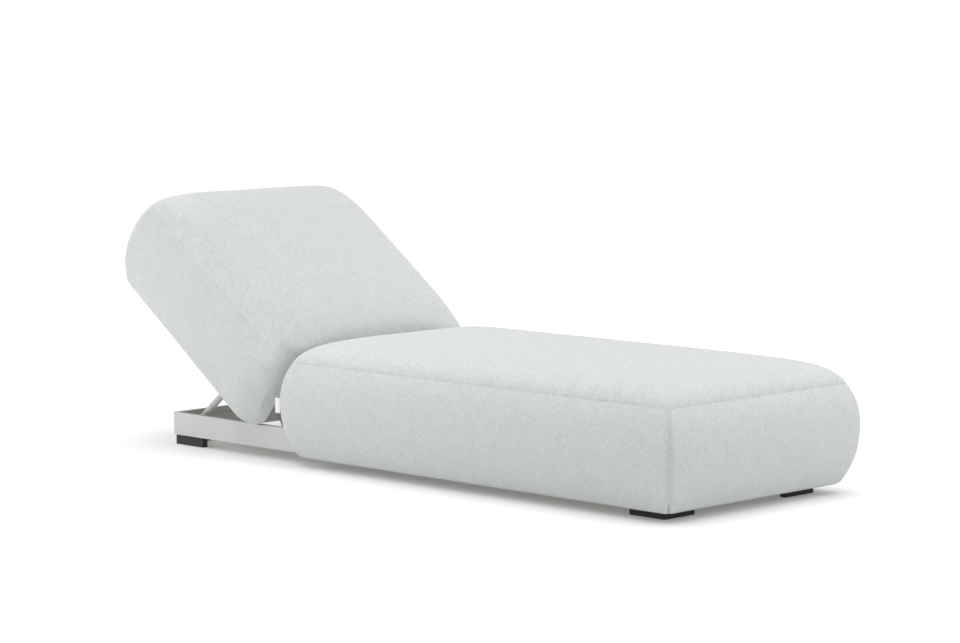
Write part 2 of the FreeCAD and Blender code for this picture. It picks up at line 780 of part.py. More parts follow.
def notch(angle, top, y_from, y_to):
    """Rack pocket: steep on the foot side, where the load is held, ramped on the head side."""
    x, _ = axle_point(angle)
    radius = sleeve_radius + slide_clearance
    ramp = [vec(x - radius - notch_ramp_length, y_from, top + cut_overrun), vec(x, y_from, top + cut_overrun),
            vec(x, y_from, top - notch_depth), vec(x - radius - notch_ramp_length, y_from, top)]
    wedge = Part.Face(Part.makePolygon(ramp + [ramp[0]])).extrude(vec(0, y_to - y_from, 0))
    pocket = rod(radius, y_from, y_to, x, top - notch_depth + radius)
    steep = block(x, x + radius, y_from, y_to, top - notch_depth + radius, top + radius)
    return wedge.fuse([pocket, steep])


def build_guides():
    """Notched rack under the axle's sleeves and plain keeper over them, welded to each rail."""
    nearest = axle_point(strut_rest_angle + highest_lift)[0] - sleeve_radius - guide_end_margin
    furthest = axle_point(strut_flat_angle)[0] + sleeve_radius + guide_end_margin
    rack_top = strut_foot_height - sleeve_radius - slide_clearance
    keeper_bottom = strut_foot_height + sleeve_radius + slide_clearance
    for name, side in SIDES:
        y_from, y_to = side * guide_inside, side * rail_inside
        rack = block(nearest, furthest, y_from, y_to, rack_top - rack_height, rack_top)
        low, high = sorted((y_from, y_to))
        for lift in notch_lift_angles:
            rack = rack.cut(notch(strut_rest_angle + lift, rack_top, low - cut_overrun, high + cut_overrun))
        export("guide_rack_" + name, rack.removeSplitter())
        keeper = block(nearest, furthest, y_from, y_to, keeper_bottom, keeper_bottom + keeper_height)
        export("guide_keeper_" + name, keeper)


# Assembly

BACK_NODES = ("back_", "hinge_plate_", "slide_axle", "axle_sleeve_", "strut_top_", "tube_end_caps")
STRUT_NODES = ("strut_tube_", "strut_bushes", "strut_cross_tube")


def raise_backrest():
    """Turns struts and backrest from the flat position to the rest pose."""
    foot = vec(strut_foot_place, 0, strut_foot_height)
    flat_x, flat_z = strut_point(strut_flat_angle, strut_length)
    rest_x, rest_z = strut_point(strut_rest_angle, strut_length)
    for name, shape in shapes.items():
        if name.startswith(STRUT_NODES):
            shape.rotate(foot, ACROSS, -back_rest_angle)
        elif name.startswith(BACK_NODES):
            shape.rotate(vec(flat_x, 0, flat_z), ACROSS, back_rest_angle)
            shape.translate(vec(rest_x - flat_x, 0, rest_z - flat_z))


def centre_lounger():
    """Moves the middle of the whole length to X = 0 and returns how far that was."""
    boxes = [shapes[name].optimalBoundingBox() for name in ("seat_cover", "back_cover", "side_rail_left")]
    middle = (min(box.XMin for box in boxes) + max(box.XMax for box in boxes)) / 2
    for shape in shapes.values():
        shape.translate(vec(-middle, 0, 0))
    return middle


def main():
    build_rails()
    build_feet()
    build_seat_platform()
    build_seat_block()
    build_back_block()
    build_tag()
    build_back_frame()
    build_struts()
    build_foot_pivots()
    build_top_pivots()
    build_hinge_plates()
    build_axle()
    build_guides()
    raise_backrest()
    middle = centre_lounger()
    os.makedirs("parts", exist_ok=True)
    for name, shape in shapes.items():
        shape.exportStep("parts/%s.step" % name)
    pivot = strut_point(strut_rest_angle, strut_length)
    print("nodes", len(shapes))
    print("strut foot pin", strut_foot_place - middle, strut_foot_height)
    print("strut top pin", pivot[0] - middle, pivot[1])
    print("axle", axle_point(strut_rest_angle)[0] - middle, strut_foot_height)


main()
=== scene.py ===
"""Looks of an upholstered relaxation lounger, laid out as an add-on and run as a script.

Metres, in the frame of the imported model: X from the head end to the foot end, Y to the lying person's
left, Z up. Both cushions are drawn with the backrest lying flat. The backrest cushion is then turned to
the raised rest pose about the pins of its struts.
"""
import json
import math

import bmesh
import bpy
from mathutils import Matrix, Vector, noise


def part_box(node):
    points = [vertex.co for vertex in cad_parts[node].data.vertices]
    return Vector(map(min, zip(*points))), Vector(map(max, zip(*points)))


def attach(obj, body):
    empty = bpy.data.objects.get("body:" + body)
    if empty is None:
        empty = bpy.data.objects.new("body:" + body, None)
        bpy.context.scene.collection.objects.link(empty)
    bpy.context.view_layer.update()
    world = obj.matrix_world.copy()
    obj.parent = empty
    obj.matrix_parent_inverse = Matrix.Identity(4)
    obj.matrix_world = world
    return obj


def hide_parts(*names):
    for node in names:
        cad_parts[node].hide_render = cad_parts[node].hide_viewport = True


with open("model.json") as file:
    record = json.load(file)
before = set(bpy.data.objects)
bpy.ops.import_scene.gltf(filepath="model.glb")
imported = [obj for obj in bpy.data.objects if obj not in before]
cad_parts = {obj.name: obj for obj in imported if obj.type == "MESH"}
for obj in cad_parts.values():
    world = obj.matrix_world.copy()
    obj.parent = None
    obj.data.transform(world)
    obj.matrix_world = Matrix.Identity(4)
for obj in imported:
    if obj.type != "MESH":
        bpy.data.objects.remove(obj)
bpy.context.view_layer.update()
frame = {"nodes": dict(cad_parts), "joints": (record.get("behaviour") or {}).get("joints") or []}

bl_info = {
    "name": "Relaxation Lounger",
    "version": (1, 0, 0),
    "blender": (4, 5, 0),
    "location": "View3D > Sidebar > Lounger",
    "description": "Cushions, finishes and studio of an upholstered relaxation lounger",
    "category": "Add Mesh",
}

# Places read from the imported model
base_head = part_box("corner_foot_head_left")[0].x
base_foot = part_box("corner_foot_foot_left")[1].x
base_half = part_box("corner_foot_head_left")[1].y
rail_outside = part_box("side_rail_left")[1].y
rail_foot_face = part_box("foot_rail")[1].x
seat_slat_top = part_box("seat_slats")[1].z


def joint(name):
    return next(j for j in frame["joints"] if j["name"] == name)


def flat_to_rest():
    """Matrix that turns the flat backrest to its rest pose about the struts' pins."""
    foot_pin = Vector(joint("strut_hinge")["pos_m"])
    rest_pin = Vector(joint("backrest_hinge")["pos_m"])
    lift = math.radians(-joint("strut_hinge")["range_deg"][0])
    flat_pin = foot_pin + Matrix.Rotation(lift, 3, "Y") @ (rest_pin - foot_pin)
    return Matrix.Translation(rest_pin) @ Matrix.Rotation(lift, 4, "Y") @ Matrix.Translation(-flat_pin)


def flat_box(node):
    """Box of a backrest node as it lies when the backrest is flat."""
    back = flat_to_rest().inverted()
    corners = [back @ v.co for v in frame["nodes"][node].data.vertices]
    low = Vector(min(c[k] for c in corners) for k in range(3))
    return low, Vector(max(c[k] for c in corners) for k in range(3))


# Settings that a user would change

def length(name, default, description):
    return bpy.props.FloatProperty(name=name, default=default, description=description, unit="LENGTH",
                                   precision=4)


def number(name, default, description):
    return bpy.props.FloatProperty(name=name, default=default, description=description, min=0.0)


def angle(name, degrees, description):
    return bpy.props.FloatProperty(name=name, default=math.radians(degrees), description=description,
                                   subtype="ANGLE", unit="ROTATION")


def position(name, default, description):
    return bpy.props.FloatVectorProperty(name=name, default=default, description=description,
                                         unit="LENGTH", size=3)


def colour(name, default, description):
    return bpy.props.FloatVectorProperty(name=name, default=default, description=description,
                                         subtype="COLOR", size=3, min=0.0, max=1.0)


class SewingSizes(bpy.types.PropertyGroup):
    """Boxed sides, seams and fabric shared by both cushions."""
    hem_height: length("Hem height", 0.023, "Height of the hem over the floor")
    seam_rise: length("Seam rise", 0.269, "Rise from the hem to the top seam")
    widest_rise: length("Widest rise", 0.162, "Rise from the hem to where the sides stand out most")
    bulge_hem: length("Bulge at hem", 0.046, "How far the sides stand out at the hem")
    bulge_widest: length("Widest bulge", 0.0844, "How far the sides stand out at most")
    bulge_seam: length("Bulge at seam", 0.062, "How far the sides stand out at the top seam")
    bulge_power: number("Bulge power", 2.35, "Squareness of the sides' curve")
    corner_radius: length("Corner radius", 0.011, "Radius of the corner seams seen from above")
    hem_radius: length("Hem radius", 0.013, "Rounding of the folded hem")
    hem_turn: length("Hem turn", 0.045, "How far the cover turns under the hem")
    edge_zone: length("Edge zone", 0.102, "Width of the zone with closer mesh lines at every seam")
    edge_lines: bpy.props.IntProperty(name="Edge lines", default=16, description="Mesh lines in that zone")
    mesh_pitch: length("Mesh pitch", 0.0145, "Distance of the mesh lines elsewhere")
    swell: length("Swell", 0.003, "How far the panels swell between their seams")
    plump_reach: length("Plump reach", 0.045, "How soon beside a corner seam the sides stand out further")
    shoulder_share: number("Shoulder share", 0.85, "Share of the crown's rise that its firm edge takes up")
    groove_depth: length("Groove depth", 0.0006, "Depth of the crease along the top seam")
    corner_groove: length("Corner groove", 0.0018, "Depth of the crease along a corner seam")
    groove_width: length("Groove width", 0.0028, "Half width of the crease along a seam")
    stitch_setback: length("Stitch setback", 0.0062, "Distance of the stitch rows from a corner seam")
    stitch_sink: length("Stitch sink", 0.0011, "Depth of the channel that a stitch row pulls in")
    stitch_length: length("Stitch length", 0.0042, "Length of a stitch")
    stitch_pitch: length("Stitch pitch", 0.0056, "Distance of the stitches in a row")
    stitch_radius: length("Stitch radius", 0.00045, "Radius of the thread")
    vent_height: length("Vent height", 0.027, "Height of the slit under a corner seam of the seat")
    vent_depth: length("Vent depth", 0.006, "Depth of that slit")
    pucker_depth: length("Pucker depth", 0.0007, "Height of the small gathers beside a seam")
    pucker_length: length("Pucker length", 0.021, "Distance of the small gathers along a seam")
    pucker_reach: length("Pucker reach", 0.026, "How far the gathers run out from a seam")
    drape_depth: length("Unevenness depth", 0.0011, "Height of the slow unevenness of the panels")
    drape_length: length("Unevenness length", 0.16, "Size of the slow unevenness of the panels")


class SeatSizes(bpy.types.PropertyGroup):
    """Seat cushion."""
    length: length("Length", 1.270, "Length along the base, without the bulge")
    foot_reach: length("Foot reach", 0.0075, "How much further the foot end stands out than the head end")
    end_bulge_seam: length("End bulge at seam", 0.0565, "How far the ends stand out at the seam")
    plump: length("Plump", 0.011, "How much further the sides stand out between the corner seams")
    crown_rise: length("Crown rise", 0.0825, "Rise of the top panel over its seam")
    crown_power: number("Crown power", 2.85, "Squareness of the top panel's edge")
    crown_start: length("Crown start", 0.0018, "How far outside the seam the crown's curve would start")
    largest_corner: length("Largest corner", 0.058, "Corner radius near the top")
    corner_power: number("Corner power", 0.80, "How fast the corner radius grows above the seam")


class BackrestSizes(bpy.types.PropertyGroup):
    """Backrest cushion."""
    head_overhang: length("Head overhang", 0.1230, "How far it reaches past the base, without the bulge")
    tip_gap: length("Tip gap", 0.0186, "Gap from its tip to the seat's corner seams when flat")
    seam_setback: length("Seam setback", 0.010, "How far its foot seam stands back from the tip")
    end_fullness: length("End fullness", 0.004, "How full its foot end is")
    plump: length("Plump", 0.0, "How much further the sides stand out between the corner seams")
    crown_rise: length("Crown rise", 0.0945, "Rise of the top panel over its seam")
    crown_power: number("Crown power", 6.0, "Squareness of the top panel's edge")
    crown_start: length("Crown start", 0.0030, "How far outside the seam the crown's curve would start")
    largest_corner: length("Largest corner", 0.280, "Corner radius near the top")
    corner_power: number("Corner power", 1.9, "How fast the corner radius grows above the seam")
    head_widest_rise: length("Head widest rise", 0.205, "Rise to where the head end stands out most")
    head_bulge_seam: length("Head bulge at seam", 0.0778, "How far the head end stands out at the seam")
    tip_rise: length("Tip rise", 0.055, "Height of the rounding under the foot end")
    tip_length: length("Tip length", 0.126, "Length of the rounding under the foot end")
    foot_corner: length("Foot corner", 0.062, "Radius of the soft foot corners at the seam")
    foot_corner_length: length("Foot corner length", 0.130, "How far along the sides they round lower down")
    foot_corner_width: length("Foot corner width", 0.110, "How far across the end they round lower down")
    foot_corner_drop: length("Foot corner drop", 0.150, "How far under the seam they reach that size")
    head_wall: length("Head wall", 0.008, "Distance from the head end, without bulge, to the recess")


class LabelSizes(bpy.types.PropertyGroup):
    """Care label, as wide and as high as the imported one."""
    heading: angle("Heading", 190, "Direction that it points in, from +X")
    curl: length("Curl", 0.0012, "How far its middle bows to one side")
    lean: number("Lean", 0.5, "Share by which it bows more at its top than at its foot")
    thickness: length("Thickness", 0.0006, "Thickness of its cloth")


class FinishColours(bpy.types.PropertyGroup):
    """Colours of the finishes."""
    fabric: colour("Fabric", (0.588, 0.630, 0.621), "Woven cover")
    fabric_dark: colour("Fabric dark yarn", (0.535, 0.573, 0.565), "Darker yarns of the cover")
    fabric_light: colour("Fabric light yarn", (0.641, 0.687, 0.677), "Lighter yarns of the cover")
    lining: colour("Lining", (0.30, 0.31, 0.31), "Cloth that closes the underside")
    rail: colour("Rail paint", (0.560, 0.585, 0.575), "Powder coat of the base frame")
    strut: colour("Strut paint", (0.540, 0.575, 0.550), "Powder coat of the struts")
    foot: colour("Foot plastic", (0.013, 0.015, 0.017), "Moulded feet and end caps")
    plywood: colour("Plywood", (0.70, 0.58, 0.42), "Slats")
    nylon: colour("Nylon", (0.72, 0.71, 0.67), "Bushes and sleeves")
    zinc: colour("Zinc", (0.58, 0.60, 0.62), "Screws, pins and guides")
    label: colour("Label", (0.86, 0.86, 0.87), "Blank care label")
    floor: colour("Floor", (0.74, 0.74, 0.74), "Studio floor")


class StudioSizes(bpy.types.PropertyGroup):
    """Camera and light."""
    camera_place: position("Camera place", (6.0442, -6.124, 1.319), "Where the camera stands")
    camera_heading: angle("Camera heading", 134.41, "Direction that the camera looks in, from +X")
    camera_dip: angle("Camera dip", 6.06, "How far the camera looks down")
    camera_lens: number("Camera lens", 116.25, "Focal length in millimetres")
    camera_sensor: number("Camera sensor", 36.0, "Width of the sensor in millimetres")
    sky: number("Sky", 0.32, "Brightness of the surroundings")
    lamp: number("Lamp", 2.9, "Strength of the soft overhead lamp")
    lamp_tint: colour("Lamp tint", (1.0, 0.953, 0.958), "Colour of the overhead lamp")
    lamp_spread: angle("Lamp spread", 70, "Angle that the overhead lamp fills")
    head_softbox: number("Head softbox", 62.0, "Power of the softbox at the head end")
    foot_softbox: number("Foot softbox", 46.0, "Power of the softbox at the foot end")
    head_softbox_place: position("Head softbox place", (-3.2, -3.4, 1.6), "Where the head softbox stands")
    foot_softbox_place: position("Foot softbox place", (3.6, 3.0, 1.6), "Where the foot softbox stands")
    softbox_size: length("Softbox size", 1.8, "Width of a softbox")
    softbox_aim: length("Softbox aim", 0.25, "Height over the floor's middle that the softboxes point at")
    glow: number("Glow", 0.15, "Light that the lit floor gives off by itself")
    floor_size: length("Floor size", 3000.0, "Half width of the floor")


# Materials

class FinishNodes:
    """Material with a principled shader, and the nodes that feed it."""

    def __init__(self, name):
        self.material = bpy.data.materials.new(name)
        self.material.use_nodes = True
        self.tree = self.material.node_tree
        self.shader = self.tree.nodes["Principled BSDF"]
        self.link = self.tree.links.new

    def node(self, kind, sockets=None, **values):
        """New node with the given properties and socket values."""
        made = self.tree.nodes.new(kind)
        for key, value in values.items():
            setattr(made, key, value)
        for key, value in (sockets or {}).items():
            made.inputs[key].default_value = value
        return made

    def surface(self, sockets):
        """Sets values of the shader."""
        for key, value in sockets.items():
            self.shader.inputs[key].default_value = value

    def object_coordinates(self):
        return self.node("ShaderNodeTexCoord").outputs["Object"]

    def stretched(self, vector, scale):
        mapping = self.node("ShaderNodeMapping", {"Scale": scale})
        self.link(vector, mapping.inputs["Vector"])
        return mapping.outputs["Vector"]

    def noise(self, vector, scale=1.0, detail=3.0, roughness=0.5):
        field = self.node("ShaderNodeTexNoise", {"Scale": scale, "Detail": detail, "Roughness": roughness})
        self.link(vector, field.inputs["Vector"])
        return field.outputs["Fac"]

    def added(self, first, second, share):
        """first + share * second."""
        made = self.node("ShaderNodeMath", {1: share}, operation="MULTIPLY_ADD")
        self.link(second, made.inputs[0])
        self.link(first, made.inputs[2])
        return made.outputs[0]

    def base_colour(self, field, low, high, tones):
        """Base colour between two or three tones, as the field goes from low to high."""
        spread = self.node("ShaderNodeMapRange", {"From Min": low, "From Max": high})
        self.link(field, spread.inputs["Value"])
        ramp = self.node("ShaderNodeValToRGB")
        ramp.color_ramp.elements[0].color = (*tones[0], 1.0)
        ramp.color_ramp.elements[1].color = (*tones[-1], 1.0)
        if len(tones) == 3:
            middle = ramp.color_ramp.elements.new(0.5)
            middle.color = (*tones[1], 1.0)
        self.link(spread.outputs["Result"], ramp.inputs["Fac"])
        self.link(ramp.outputs["Color"], self.shader.inputs["Base Color"])

    def bump(self, height, distance, strength):
        made = self.node("ShaderNodeBump", {"Distance": distance, "Strength": strength})
        self.link(height, made.inputs["Height"])
        self.link(made.outputs["Normal"], self.shader.inputs["Normal"])


def shade(tone, factor):
    """A tone made darker or lighter."""
    return [min(1.0, channel * factor) for channel in tone]


def woven_fabric(name, colours):
    """Close melange weave, on the panels' own map in metres."""
    cover = FinishNodes(name)
    cloth = cover.node("ShaderNodeUVMap", uv_map="panels").outputs["UV"]
    across, along = 230.0, 70.0
    upright_slubs = cover.noise(cover.stretched(cloth, (across, along, 1.0)))
    cross_slubs = cover.noise(cover.stretched(cloth, (along, across, 1.0)))
    flecks = cover.noise(cloth, scale=120.0, detail=4.0, roughness=0.7)
    clouds = cover.noise(cloth, scale=26.0, detail=2.0)
    yarns = upright_slubs
    for field, share in ((cross_slubs, 0.7), (flecks, 0.9), (clouds, 0.4)):
        yarns = cover.added(yarns, field, share)
    cover.base_colour(yarns, low=1.2, high=1.8,
                      tones=[colours.fabric_dark, colours.fabric, colours.fabric_light])
    threads = []
    for direction in ("X", "Y"):
        wave = cover.node("ShaderNodeTexWave", {"Scale": 190.0, "Distortion": 1.2, "Detail Scale": 1.5},
                          bands_direction=direction)
        cover.link(cloth, wave.inputs["Vector"])
        threads.append(wave.outputs["Fac"])
    weave = cover.added(*threads, share=1.0)
    cover.bump(cover.added(weave, yarns, share=0.8), distance=0.0004, strength=0.55)
    cover.surface({"Roughness": 0.92, "Specular IOR Level": 0.18,
                   "Sheen Weight": 0.12, "Sheen Roughness": 0.5})
    return cover.material


def plain_cloth(name, tone, scale):
    """Smooth cloth such as lining, thread or label, with a fine grain."""
    cloth = FinishNodes(name)
    grain = cloth.noise(cloth.object_coordinates(), scale, roughness=0.6)
    cloth.base_colour(grain, low=0.3, high=0.7, tones=[shade(tone, 0.88), shade(tone, 1.08)])
    cloth.bump(grain, distance=0.0003, strength=0.5)
    cloth.surface({"Roughness": 0.9, "Specular IOR Level": 0.2})
    return cloth.material


def powder_coat(name, tone):
    """Satin powder coat with its fine orange peel."""
    coat = FinishNodes(name)
    place = coat.object_coordinates()
    peel = coat.noise(place, scale=850.0, detail=2.0)
    clouds = coat.noise(place, scale=9.0, detail=2.0)
    coat.base_colour(clouds, low=0.3, high=0.7, tones=[shade(tone, 0.975), shade(tone, 1.02)])
    coat.bump(peel, distance=0.0002, strength=0.35)
    coat.surface({"Roughness": 0.46, "Specular IOR Level": 0.45})
    return coat.material


def moulded_plastic(name, tone):
    """Moulded plastic with a fine spark-eroded grain, rubbed a little lighter here and there."""
    plastic = FinishNodes(name)
    place = plastic.object_coordinates()
    grain = plastic.noise(place, scale=1400.0, detail=2.0)
    rubs = plastic.noise(plastic.stretched(place, (60.0, 60.0, 220.0)), detail=5.0, roughness=0.7)
    plastic.base_colour(rubs, low=0.42, high=0.72, tones=[tone, shade(tone, 1.35)])
    plastic.bump(grain, distance=0.00025, strength=0.5)
    plastic.surface({"Roughness": 0.6, "Specular IOR Level": 0.2})
    return plastic.material


def zinc_plate(name, tone):
    """Bright zinc on steel, with the faint clouding of the plating."""
    zinc = FinishNodes(name)
    place = zinc.object_coordinates()
    clouds = zinc.noise(place, scale=160.0, detail=4.0, roughness=0.6)
    zinc.base_colour(clouds, low=0.3, high=0.75, tones=[shade(tone, 0.82), tone])
    rough = zinc.node("ShaderNodeMapRange", {"To Min": 0.28, "To Max": 0.5})
    zinc.link(clouds, rough.inputs["Value"])
    zinc.link(rough.outputs["Result"], zinc.shader.inputs["Roughness"])
    zinc.surface({"Metallic": 0.9})
    zinc.bump(zinc.noise(place, scale=1100.0), distance=0.0001, strength=0.3)
    return zinc.material


def plywood(name, tone):
    """Beech plywood with its grain along the slats."""
    wood = FinishNodes(name)
    place = wood.object_coordinates()
    grain = wood.noise(wood.stretched(place, (95.0, 4.0, 95.0)), detail=6.0, roughness=0.62)
    flecks = wood.noise(wood.stretched(place, (900.0, 120.0, 900.0)), detail=2.0)
    field = wood.added(grain, flecks, share=0.35)
    wood.base_colour(field, low=0.5, high=0.85, tones=[shade(tone, 0.78), shade(tone, 1.12)])
    wood.bump(field, distance=0.0004, strength=0.4)
    wood.surface({"Roughness": 0.55})
    return wood.material


def floor_paint(name, tone, glow):
    """Pale matt floor that glows a little by itself: painted light that lifts the shadows under the lounger
    and lights the cushions from below.
    """
    floor = FinishNodes(name)
    # The emission is painted light: a glow of the floor that lightens the shadows under the lounger
    floor.surface({"Base Color": (*tone, 1.0), "Roughness": 1.0, "Specular IOR Level": 0.0,
                   "Emission Color": (1.0, 1.0, 1.0, 1.0), "Emission Strength": glow})
    return floor.material


def finish(name):
    """The finish of that name, made once."""
    scene = bpy.context.scene
    colours = scene.lounger_colours
    makers = {
        "melange_fabric": lambda: woven_fabric(name, colours),
        "seam_thread": lambda: plain_cloth(name, colours.fabric_light, scale=2500.0),
        "underside_lining": lambda: plain_cloth(name, colours.lining, scale=900.0),
        "label_satin": lambda: plain_cloth(name, colours.label, scale=1800.0),
        "rail_powder_coat": lambda: powder_coat(name, colours.rail),
        "strut_powder_coat": lambda: powder_coat(name, colours.strut),
        "foot_plastic": lambda: moulded_plastic(name, colours.foot),
        "bearing_nylon": lambda: moulded_plastic(name, colours.nylon),
        "zinc_plate": lambda: zinc_plate(name, colours.zinc),
        "beech_plywood": lambda: plywood(name, colours.plywood),
        "studio_floor": lambda: floor_paint(name, colours.floor, scene.lounger_studio.glow),
    }
    return bpy.data.materials.get(name) or makers[name]()


def paint(nodes, name):
    """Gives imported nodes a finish."""
    for node in nodes:
        for slot in frame["nodes"][node].material_slots:
            slot.material = finish(name)


# Padded cushions

# Distance from a corner seam where a corner has none
NO_SEAM = 1.0

# How the mesh lines draw closer to a seam: beside it, and on the steep edge of the crown
EDGE_SPREAD = 1.9
CROWN_SPREAD = 0.8

# Largest share of a ring's room that one of its rounded corners takes up
CORNER_ROOM = 0.86

# Insets over which the rings' own heights give way to an even dome, and the power that rounds it
DOME_START = 0.02
DOME_BLEND = 0.1
DOME_POWER = 3

# Gaps between a recess and what it holds: the rails, and the slats that it rests on
FRAME_CLEARANCE = 0.006
SLAT_CLEARANCE = 0.0003


def smooth_step(value):
    value = min(1.0, max(0.0, value))
    return value * value * (3.0 - 2.0 * value)


def side_bulge(sewing, rise, widest_rise=None, bulge_seam=None):
    """How far a side stands out past the base rectangle at a rise over the hem."""
    widest_rise, bulge_seam = widest_rise or sewing.widest_rise, bulge_seam or sewing.bulge_seam
    if rise < widest_rise:
        share = (widest_rise - rise) / widest_rise
        return sewing.bulge_widest - (sewing.bulge_widest - sewing.bulge_hem) * share ** sewing.bulge_power
    share = (rise - widest_rise) / (sewing.seam_rise - widest_rise)
    return sewing.bulge_widest - (sewing.bulge_widest - bulge_seam) * share ** sewing.bulge_power


def edge_distances(sewing):
    """Distances from a seam of the mesh lines beside it, ever further apart."""
    return [sewing.edge_zone * (k / sewing.edge_lines) ** EDGE_SPREAD for k in range(sewing.edge_lines + 1)]


def mesh_lines(sewing, span):
    """Places of the mesh lines over a span, closer together at both ends."""
    edge = edge_distances(sewing)
    inner = span - 2 * sewing.edge_zone
    count = round(inner / sewing.mesh_pitch)
    middle = [sewing.edge_zone + inner * k / count for k in range(1, count)]
    return edge + middle + [span - e for e in reversed(edge)]


class Panel:
    """Top panel of a cushion: its seam rectangle, crown and rounded corners."""

    def __init__(self, sewing, sizes, x_from, x_to, foot_corner=0.0):
        self.sewing, self.sizes = sewing, sizes
        self.x_from, self.x_to = x_from, x_to
        self.foot_corner = foot_corner
        self.half = base_half + sewing.bulge_seam
        self.reach = min(self.half, (x_to - x_from) / 2)

    def inset(self, line):
        """How far in from the seam a mesh line's ring lies: closer where the crown is steep."""
        zone, power = self.sewing.edge_zone, self.sizes.crown_power
        if line >= zone:
            return line
        last = math.acos((1 - zone / self.reach) ** (power / 2))
        turn = last * (line / zone) ** CROWN_SPREAD
        return self.reach * (1 - math.cos(turn) ** (2 / power))

    def height(self, inset):
        """Share of the crown's rise at an inset from the seam: a superellipse that starts outside it."""
        power, full = self.sizes.crown_power, self.reach + self.sizes.crown_start
        low, share = ((1 - (max(0.0, self.reach - way) / full) ** power) ** (1 / power)
                      for way in (0.0, inset))
        return (share - low) / (1 - low)

    def corner(self, inset, least):
        """Corner radius of the ring at an inset, at least a given one if the ring has room for it."""
        radius, largest = self.sewing.corner_radius, self.sizes.largest_corner
        radius += (largest - radius) * self.height(inset) ** self.sizes.corner_power
        return min(max(radius, least), CORNER_ROOM * (self.reach - inset))

    def place(self, line_x, line_y, least_corner):
        """Point of the panel where two mesh lines cross, as distances from the two nearest sides,
        with its height and the way along its ring from the corner."""
        ends = (self.x_to - self.x_from) / 2, self.half
        near = 0 if line_x <= line_y else 1
        lines = (line_x, line_y)
        inset = self.inset(lines[near])
        half = ends[1 - near]
        room = half - lines[near]
        along = (lines[1 - near] - lines[near]) * (half - inset) / room if room > 0 else 0.0
        radius = self.corner(inset, least_corner)
        if along < radius:
            turn = math.pi / 4 * (1 - along / radius)
            side = inset + radius * (1 - math.cos(turn))
            other = inset + radius * (1 - math.sin(turn))
        else:
            side, other = inset, inset + along
        away = (side, other) if near == 0 else (other, side)
        rise = self.height(inset)
        if inset > 0:
            even = (away[0] ** -DOME_POWER + away[1] ** -DOME_POWER) ** (-1 / DOME_POWER)
            share = smooth_step((inset - DOME_START) / DOME_BLEND)
            rise += (self.height(even) - rise) * share
        return away, rise * self.sizes.crown_rise, along

    def points(self, lines_x, lines_y):
        """Place, height over the seam and way from a corner of each point, by the numbers of its lines."""
        span, width = lines_x[-1], lines_y[-1]
        seam_z = self.sewing.hem_height + self.sewing.seam_rise
        made = {}
        for i, x in enumerate(lines_x):
            for j, y in enumerate(lines_y):
                soft = self.foot_corner if x > span / 2 else 0.0
                (away_x, away_y), rise, along = self.place(min(x, span - x), min(y, width - y), soft)
                along = NO_SEAM if soft else along
                px = self.x_from + away_x if x < span / 2 else self.x_to - away_x
                py = away_y - self.half if y < width / 2 else self.half - away_y
                made[i, j] = Vector((px, py, seam_z + rise)), rise, along
        return made


def side_levels(sewing):
    """Rises of the mesh lines down the sides, from under the seam to over the hem."""
    under_seam = [sewing.seam_rise - e for e in edge_distances(sewing)[1:]]
    low = 3 * sewing.hem_radius
    count = round((under_seam[-1] - low) / sewing.mesh_pitch)
    step = (under_seam[-1] - low) / count
    return under_seam + [under_seam[-1] - step * k for k in range(1, count + 1)]


def hem_rings(sewing):
    """Rounding of the hem and the turned-under band, as (rise, way in)."""
    radius, steps, first_strip = sewing.hem_radius, 5, 0.4
    turns = [math.pi / 2 * k / steps for k in range(steps + 1)]
    rings = [(radius * (1 - math.sin(turn)), radius * (1 - math.cos(turn))) for turn in turns]
    return rings + [(0.0, first_strip * sewing.hem_turn), (0.0, sewing.hem_turn)]


def drawn_ring(bm, ring):
    """Extrudes a ring of edges, as (new vertices, new faces, new ring)."""
    made = bmesh.ops.extrude_edge_only(bm, edges=ring)["geom"]
    verts = [g for g in made if isinstance(g, bmesh.types.BMVert)]
    faces = [g for g in made if isinstance(g, bmesh.types.BMFace)]
    fresh = set(verts)
    ring = [g for g in made if isinstance(g, bmesh.types.BMEdge) and fresh.issuperset(g.verts)]
    return verts, faces, ring


